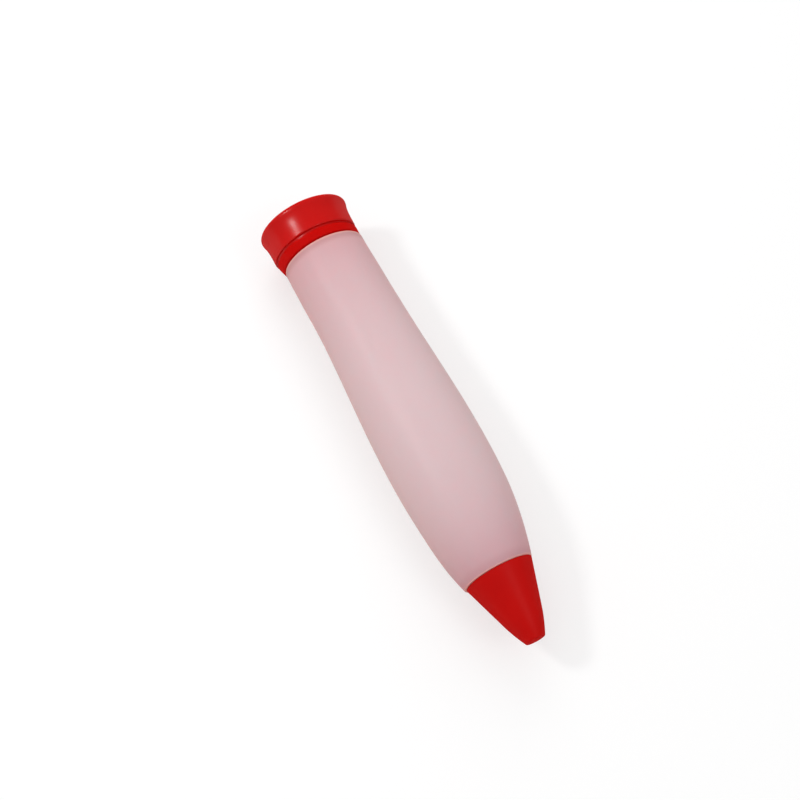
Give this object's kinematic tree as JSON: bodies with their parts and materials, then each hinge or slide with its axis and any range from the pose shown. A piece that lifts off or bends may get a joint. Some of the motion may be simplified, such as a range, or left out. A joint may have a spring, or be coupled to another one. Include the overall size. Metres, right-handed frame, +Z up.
{
  "type": "squeeze decorating pen",
  "caption": "Squeeze pen for writing and decorating with icing or melted chocolate: soft bulb, pull-out tail plug, writing nozzle and pull-off cone cap.",
  "frame": {"origin": "on the surface the pen lies on, under the middle of its length", "axes": "+X along the pen's axis from the tail plug towards the tip of the cap, +Z up"},
  "size_m": [0.155, 0.0322, 0.0322],
  "materials": {
    "milky_silicone": "matt, milky, lets light through",
    "red_plug_plastic": "soft gloss",
    "red_cap_plastic": "satin"
  },
  "bodies": {
    "squeeze_bulb": {"squeeze_bulb": "milky_silicone"},
    "tail_plug": {"tail_plug": "red_plug_plastic"},
    "writing_nozzle": {"writing_nozzle": "red_cap_plastic"},
    "nozzle_cap": {"nozzle_cap": "red_cap_plastic"}
  },
  "joints": [
    {"name": "plug_pull", "type": "slide", "parent": "squeeze_bulb", "child": "tail_plug", "axis": [-1, 0, 0], "range_m": [0, 0.03]},
    {"name": "nozzle_pull", "type": "slide", "parent": "squeeze_bulb", "child": "writing_nozzle", "axis": [1, 0, 0], "range_m": [0, 0.025]},
    {"name": "cap_pull", "type": "slide", "parent": "writing_nozzle", "child": "nozzle_cap", "axis": [1, 0, 0], "range_m": [0, 0.03]}
  ]
}
